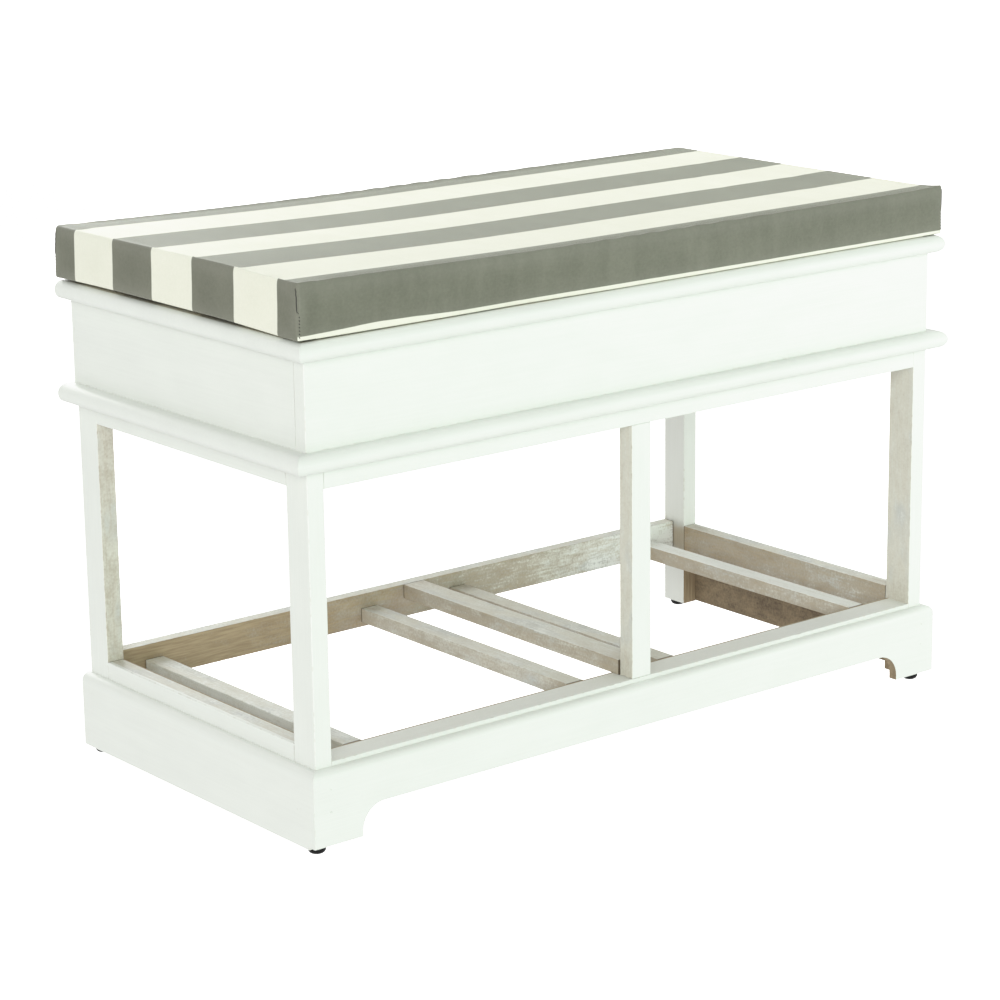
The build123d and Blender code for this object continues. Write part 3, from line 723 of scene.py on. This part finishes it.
# %% Mark what lies on the lid and what is sewn
def point_group(piece, name, weights):
    """A vertex group with one weight for each point."""
    group = piece.vertex_groups.new(name=name)
    for weight in np.unique(weights[weights > 0]):
        group.add(np.flatnonzero(weights == weight).tolist(), float(weight), "REPLACE")


def mesh_points(mesh):
    """The points of a mesh as an array."""
    points = np.empty(len(mesh.vertices) * 3)
    mesh.vertices.foreach_get("co", points)
    return points.reshape(-1, 3)


on_end = (cover_steps == 0) | (cover_steps == counts)
on_seam = on_end.sum(axis=1) >= 2
underside = cover_steps[:, 2] == 0
point_group(cushion, "lies_on_lid", (underside & ~on_seam).astype(float))
point_group(cushion, "drawn_seam", on_seam.astype(float))
print(on_seam.sum(), "points on seams,", underside.sum(), "on the underside")

# %% Swell the cover
pressure = 4.0
last_frame = 16
furthest = 0.7 * mm
deepest = 0.4 * mm
filling = cushion.modifiers.new("filling", "CLOTH")
cloth = filling.settings
cloth.quality = 5
cloth.mass = 0.2
cloth.tension_stiffness = 12.0
cloth.compression_stiffness = 12.0
cloth.shear_stiffness = 4.0
cloth.bending_stiffness = 0.4
cloth.use_pressure = True
cloth.uniform_pressure_force = pressure
cloth.effector_weights.gravity = 0.0
cloth.vertex_group_mass = "lies_on_lid"
cloth.vertex_group_shrink = "drawn_seam"
cloth.shrink_min = 0.0
cloth.shrink_max = 0.012
filling.collision_settings.use_collision = False
filling.point_cache.frame_start = 1
filling.point_cache.frame_end = last_frame
for step in range(1, last_frame + 1):
    scene.frame_set(step)
depsgraph = bpy.context.evaluated_depsgraph_get()
swollen = mesh_points(cushion.evaluated_get(depsgraph).data)
cushion.modifiers.remove(filling)
scene.frame_set(1)
way_out = np.sum((swollen - cover_start) * cover_out, axis=1, keepdims=True)
limit = furthest * (2.0 - np.abs(cover_out[:, 2:]))
cover_filled = cover_start + cover_out * np.clip(way_out, -deepest, limit)
print("swelling before the limit", way_out.min().round(4), "to", way_out.max().round(4))

# %% [markdown]
# ## Hand work on the cushion
# A sewn cushion is not quite regular. Its lower edges are sharper than its upper ones, its left end is a few
# millimetres thicker and stands a little off the lid, and the foot spreads there. The top edges stand up as
# lips, highest along the front, and the top sags a little between them. The rear edge bows out, most at its
# left, the upright seams at the corners are drawn in, and the long edges ripple where the cover is tight.
# These are small moves of the same points, each a smooth formula of the place on the cover. A place is given
# by its share of the way from the middle to each side, from -1 to 1.


# %% Sharpen and spread the foot
def ramp(value, low=0.0, high=1.0):
    """0 up to low, 1 from high on, and a straight climb between them."""
    return np.clip((value - low) / (high - low), 0.0, 1.0)


def hill(value, width, top=0.0):
    """1 at the top, less on both sides like a bell: e to the power of -((value - top) / width) squared."""
    return np.exp(-(((value - top) / width) ** 2))


cushion_middle = (cushion_low + cushion_high) / 2
half = (cushion_high - cushion_low) / 2
place_share = (cover_flat - cushion_middle) / half
x_share, y_share, z_share = place_share.T
x_mm, y_mm = cover_flat[:, :2].T / mm
low_sharpness = 0.6
low_edge = ramp(-z_share, 0.7, 1.0) ** 0.5
cover_filled += low_sharpness * low_edge[:, None] * (cover_flat - cover_start)
low_share = ramp(0.5 - z_share / 2)
foot_tuck = (0.2 + 2.4 * hill(x_mm, 75.0, top=-140.0)) * mm
cover_filled[:, 1] -= foot_tuck * low_share ** 2 * y_share ** 15
end_spread = 1.3 * mm
cover_filled[:, 0] -= end_spread * low_share ** 2 * ramp(-x_share) ** 15
print("foot tucked by up to", foot_tuck.max().round(4))

# %% Lift the left end
end_lift = 5.9 * mm
toward_left = ramp(-x_mm, 40.0, 390.0) ** 1.7
from_front = ramp(y_mm, -190.0, -60.0)
from_front = from_front ** 2 * (3.0 - 2.0 * from_front)
settled = low_share * (0.35 + 0.35 * y_share ** 4)
lift = end_lift * toward_left * (0.55 + 0.45 * from_front) * (1.0 - settled)
cover_filled[:, 2] += lift
print("left end lifted by up to", lift.max().round(4))

# %% Raise the lips and let the top sag
far_edge = ramp(np.maximum(x_share, y_share)) ** 12
front_edge = ramp(-y_share) ** 12
left_edge = ramp(-x_share) ** 12 * (0.5 - 0.5 * y_share)
near_edge = np.maximum(front_edge, left_edge)
lip_height = (1.2 + 0.9 * far_edge + 3.9 * near_edge) * mm
lip_width = 5.0 * mm
fold = np.sort(np.abs(np.abs(place_share) - 1.0) * half, axis=1)[:, 1]
cover_filled[:, 2] += lip_height * hill(fold, lip_width) * (z_share > 0.7)
top_sag = 1.2 * mm
above = ramp(z_share)
cover_filled[:, 2] -= top_sag * ramp(x_mm, -320.0, -120.0) * (1.0 - far_edge) * above
print("lips of up to", lip_height.max().round(4))

# %% Bow the rear out and draw the corner seams in
rear_bow = 2.0 * mm
rear_bulge = 4.0 * mm
below = ramp(-z_share)
bulge = rear_bulge * toward_left * (1.0 - 0.75 * above ** 2 - 0.25 * below ** 2)
cover_filled[:, 1] += (rear_bow * (1.0 - x_share ** 2) + bulge) * ramp(y_share) ** 8
upright_seam = on_end[:, 0] & on_end[:, 1]
seam_draw = 0.9 * mm
inward = -np.sign(place_share[:, :2]) / math.sqrt(2.0)
cover_filled[upright_seam, :2] += seam_draw * inward[upright_seam]
print(upright_seam.sum(), "points on the upright seams")

# %% Crease the top and ripple the long edges
# A crease is given by its middle, its angle in degrees and its length. Places and widths are in millimetres.
crease_depth = 0.5 * mm
crease_width = 6.0
creases = ((230.0, -60.0, 62.0, 40.0), (262.0, 20.0, 70.0, 55.0), (300.0, -110.0, 50.0, 35.0),
           (318.0, 60.0, 66.0, 50.0), (345.0, -30.0, 58.0, 45.0))
for crease_x, crease_y, crease_angle, crease_length in creases:
    turn = math.radians(crease_angle)
    beside = (x_mm - crease_x) * math.sin(turn) - (y_mm - crease_y) * math.cos(turn)
    lengthwise = (x_mm - crease_x) * math.cos(turn) + (y_mm - crease_y) * math.sin(turn)
    dip = hill(beside, crease_width) * hill(lengthwise, crease_length)
    cover_filled[:, 2] -= crease_depth * dip * (z_share > 0.9)

ripple_depth = 0.55 * mm
ripple_reach = 16 * mm
to_long_edge = (1.0 - np.abs(y_share)) * half[1]
long_edge = hill(to_long_edge, ripple_reach) * (z_share > 0.2)
ripple = np.sin(x_mm / 5.3 + 2.0 * np.sin(x_mm / 47.0)) * (0.5 + 0.5 * np.sin(x_mm / 83.0 + 1.1))
cover_filled[:, 2] += ripple_depth * ripple * long_edge
cushion.data.vertices.foreach_set("co", cover_filled.ravel())
cushion.data.update()
print("cushion spans", cover_filled.min(axis=0).round(4), "to", cover_filled.max(axis=0).round(4))

# %% [markdown]
# ## Where the stripes run
# The cloth is woven with broad stripes along the bench. They run over the long edges without a break, and
# straight down both ends. The cover's own map holds two lengths in metres: along the bench, and across the
# cloth from its middle line. On the front and rear the second one grows downwards, a little faster where the
# cover sags, so that the next pale stripe shows there as an uneven thin line. The cloth goes on under the
# foot, and both sides meet along the middle of the underside.

# %% Map the cloth
stripe_width = 65.6 * mm
stripe_middle = -0.5 * mm
next_stripe = 3.5 * stripe_width
turned_under = 6.0 * mm
end_turning = 25.0 * mm


def next_stripe_depth(x):
    """Depth below the top edge where the next stripe begins: it shows 4 mm, and 7 mm by the left third."""
    left_third = hill(x / mm, 60.0, top=-300.0)
    middle = hill(x / mm, 150.0, top=-60.0)
    shows = 4.0 + 2.6 * left_third + 0.7 * middle
    return cushion_high[2] - cushion_low[2] - shows * mm


def cloth_map(axis, side, points):
    """Along and across the cloth for points of one panel."""
    x, y, z = points.T
    down = cushion_high[2] - z
    across = y - stripe_middle
    edge_across = np.abs(across) if axis == 1 else half[1]
    if axis == 1:
        across = side * (edge_across + down * (next_stripe - edge_across) / next_stripe_depth(x))
    if axis == 2 and side < 0:
        quad_middle = points.reshape(-1, 4, 3).mean(axis=1).repeat(4, axis=0)
        turned = np.where(quad_middle[:, 1] < stripe_middle, -1.0, 1.0)
        below_front = turned * (next_stripe + edge_across + turned_under) - across
        across = np.where(np.abs(quad_middle[:, 0]) > half[0] - end_turning, across, below_front)
    along = x + side * down if axis == 0 else x
    return np.stack((along, across), axis=1)


cloth_places = [cloth_map(axis, side, cover_flat[quads.ravel()])
                for (axis, side), quads in cover_panels.items()]
cloth_layer = cushion.data.uv_layers.new(name="cloth")
cloth_layer.data.foreach_set("uv", np.concatenate(cloth_places).ravel())
# A weight near the edges, for grey painted paler there: rubbing, and a painted highlight.
edge_rub_and_highlight_layer = cushion.data.attributes.new("fold", "FLOAT", "POINT")
rub_and_highlight_width = 9 * mm
edge_rub_and_highlight_layer.data.foreach_set("value", hill(fold, rub_and_highlight_width))
print("stripes of", stripe_width, "m on", len(cushion.data.loops), "face corners")

# %% [markdown]
# The cloth is a plain cotton canvas. Two sets of threads cross at right angles, so the bump is the product of
# two waves on the cloth's own map. Stripes come from a triangle wave across the cloth, cut at its middle. The
# grey is a green grey that has washed out in soft clouds, and along the rounded edges it is painted a little
# paler: rubbed, and a painted highlight where the edges turn to the light.


# %% The finish of the striped cotton
def striped_cotton():
    """Stripes by a triangle wave across the cloth, threads by two crossed waves, soft clouds of wear."""
    finish, start = new_finish("striped_cotton_finish")
    cloth = start.node("ShaderNodeUVMap", {"uv_map": "cloth"})
    place = start.node("ShaderNodeTexCoord", output="Object")
    along, across = split(cloth)[:2]
    weave_wobble = speckle(cloth, (30 * mm, 6 * mm, 1.0), 0.4)
    wave = start.math("PINGPONG", across + (weave_wobble - 0.5) * (0.7 * mm), stripe_width)
    grey = rise(wave, 0.5 * stripe_width - 0.35 * mm, 0.5 * stripe_width + 0.35 * mm)
    cloud = speckle(place, (140 * mm, 45 * mm, 30 * mm), 0.9, 4.0)
    slub = speckle(cloth, (26 * mm, 0.8 * mm, 1.0), 2.2)
    thread = 0.9 * mm
    warp = start.math("SINE", along * (2.0 * math.pi / thread))
    weft = start.math("SINE", across * (2.0 * math.pi / thread))
    canvas = warp * weft * 0.5 + 0.5
    fold = start.node("ShaderNodeAttribute", {"attribute_name": "fold"}, output="Fac")
    smear = speckle(place, (16 * mm, 70 * mm, 60 * mm), 4.4, 2.0)
    mottle = speckle(place, (2.6 * mm, 2.6 * mm, 2.6 * mm), 6.1, 2.0)
    worn = held((cloud - 0.5) * 1.0 + (smear - 0.5) * 1.1 + (mottle - 0.5) * 0.9 + 0.45 + (slub - 0.5) * 0.4)
    grey_cloth = blend(worn, (0.136, 0.141, 0.102, 1.0), (0.195, 0.200, 0.151, 1.0))
    # Paler grey along the edges: rubbed cloth, and a painted highlight on the rounded edges.
    grey_cloth = blend(fold * 0.25, grey_cloth, (0.30, 0.30, 0.255, 1.0))
    pale_cloth = blend(worn, (0.815, 0.82, 0.70, 1.0), (0.875, 0.88, 0.765, 1.0))
    base = blend(grey, pale_cloth, grey_cloth)
    base = blend((1.0 - canvas) * 0.10, base, (0.10, 0.10, 0.08, 1.0))
    height = canvas * 0.6 + slub * 0.4
    close_finish(start, base, 0.55 + (slub - 0.5) * 0.1, height, 0.12 * mm,
                 Specular_IOR_Level=0.4, Sheen_Weight=0.39, Sheen_Roughness=0.35,
                 Sheen_Tint=(0.9, 0.92, 0.8, 1.0))
    return finish


cushion.data.materials.append(striped_cotton())
cushion.data.polygons.foreach_set("use_smooth", np.ones(len(cushion.data.polygons), dtype=bool))
smoothing = cushion.modifiers.new("soft_cover", "SUBSURF")
smoothing.levels = 1
smoothing.render_levels = 1
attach(cushion, "cushion")
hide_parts("cushion_cover", "cushion_foam")
print("cushion dressed")

# %% [markdown]
# ## The stitched corners
# The cover is closed by hand at its four upright corners. Near the top the thread was pulled through over and
# over, so that it lies as one dark line, and further down it shows as separate short stitches. Each is a thin
# tube, a circle carried along a short path that is laid on the cushion's real surface.

# %% A tube along a path
askew = np.array((0.31, 0.52, 0.79))
tip_share = 0.45


def tube(path, radius, sides=6):
    """A closed tube: a circle carried along a path, square to it, and smaller and closed at both ends."""
    ahead = np.gradient(path, axis=0)
    ahead /= np.linalg.norm(ahead, axis=1, keepdims=True)
    aside = np.cross(ahead, askew)
    aside /= np.linalg.norm(aside, axis=1, keepdims=True)
    over = np.cross(ahead, aside)
    angle = np.linspace(0.0, 2.0 * math.pi, sides, endpoint=False)
    taper = np.full(len(path), radius)
    taper[[0, -1]] = tip_share * radius
    ring = np.cos(angle)[None, :, None] * aside[:, None] + np.sin(angle)[None, :, None] * over[:, None]
    skin = (path[:, None] + taper[:, None, None] * ring).reshape(-1, 3)
    corners = np.concatenate((skin, path[[0, -1]]))
    rows = np.arange(len(path) - 1)[:, None] * sides
    here = np.arange(sides)
    after = (here + 1) % sides
    walls = np.stack((rows + here, rows + after, rows + sides + after, rows + sides + here), axis=-1)
    walls = walls.reshape(-1, 4)
    first, last = len(skin), len(skin) + 1
    foot = np.stack((np.full(sides, first), after, here), axis=1)
    head = np.stack((np.full(sides, last), len(skin) - sides + here, len(skin) - sides + after), axis=1)
    return corners, walls.tolist() + foot.tolist() + head.tolist()


print("a tube is a circle carried along a path")

# %% Find the cushion's real surface
bpy.context.view_layer.update()
depsgraph = bpy.context.evaluated_depsgraph_get()
soft_mesh = cushion.evaluated_get(depsgraph).to_mesh()
soft_faces = [tuple(face.vertices) for face in soft_mesh.polygons]
soft_skin = BVHTree.FromPolygons([tuple(v.co) for v in soft_mesh.vertices], soft_faces)


def laid_on_cushion(points, lift):
    """Points brought to the cushion's surface and raised off it by a lift."""
    found = [soft_skin.find_nearest(Vector(point)) for point in points]
    return np.array([spot + normal * lift for spot, normal, face, distance in found])


print(len(soft_faces), "faces to sew on")

# %% Lay the thread
thread_radius = 0.42 * mm
stitch_pitch = 2.9 * mm
line_points = 15
line_length = 22 * mm
line_aside = 1.5 * mm
line_lean = 2.4 * mm
line_wander = 0.35 * mm
below_edge = 4.0 * mm
above_foot = 2 * mm


def corner_stitches(x_side, y_side):
    """Paths of one corner: a line down its upper part, then short slanted stitches across the seam."""
    corner = cushion_middle + half * np.array((x_side, y_side, 0.0))
    on_corner = upright_seam & (x_share * x_side > 0) & (y_share * y_side > 0)
    seam_top = cover_filled[on_corner, 2].max() - below_edge
    line_end = seam_top - line_length
    seam_foot = cover_filled[on_corner, 2].min() + above_foot
    line_z = np.linspace(seam_top, line_end, line_points)
    wander = line_wander * np.sin(np.arange(line_points) * 2.2)
    aside = line_aside + line_lean * (line_z - line_z.mean()) / line_length + wander
    line = np.stack((
        corner[0] + x_side * np.minimum(aside, 0.0),
        corner[1] - y_side * np.maximum(aside, 0.0),
        line_z,
    ), axis=1)
    paths = [laid_on_cushion(line, 0.25 * mm)]
    for z in np.arange(line_end - stitch_pitch, seam_foot, -stitch_pitch):
        slant = np.linspace(-1.0, 1.0, 5)
        stitch = np.stack((
            corner[0] - x_side * (1.4 + slant * 0.9) * mm,
            np.full_like(slant, corner[1]),
            z - slant * 0.7 * mm,
        ), axis=1)
        paths.append(laid_on_cushion(stitch, 0.3 * mm))
    return paths


print("thread of radius", thread_radius)


# %% Sew the corners
def thread_finish():
    """Dark waxed thread: fine twisted bands along a brown black."""
    finish, start = new_finish("dark_thread_finish")
    place = start.node("ShaderNodeTexCoord", output="Object")
    twist = speckle(place, (0.3 * mm, 0.3 * mm, 0.5 * mm))
    base = blend(twist, (0.018, 0.017, 0.014, 1.0), (0.05, 0.048, 0.04, 1.0))
    close_finish(start, base, 0.6 + (twist - 0.5) * 0.2, twist, 0.05 * mm)
    return finish


stitch_corners = []
stitch_faces = []
corner_count = 0
for x_side in (-1, 1):
    for y_side in (-1, 1):
        for path in corner_stitches(x_side, y_side):
            corners, faces = tube(path, thread_radius)
            stitch_corners.append(corners)
            stitch_faces += [[corner_count + corner for corner in face] for face in faces]
            corner_count += len(corners)
stitches = mesh_piece("corner_stitches", np.concatenate(stitch_corners), stitch_faces)
stitches.data.materials.append(thread_finish())
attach(stitches, "cushion")
print("stitches of", len(stitch_faces), "faces")
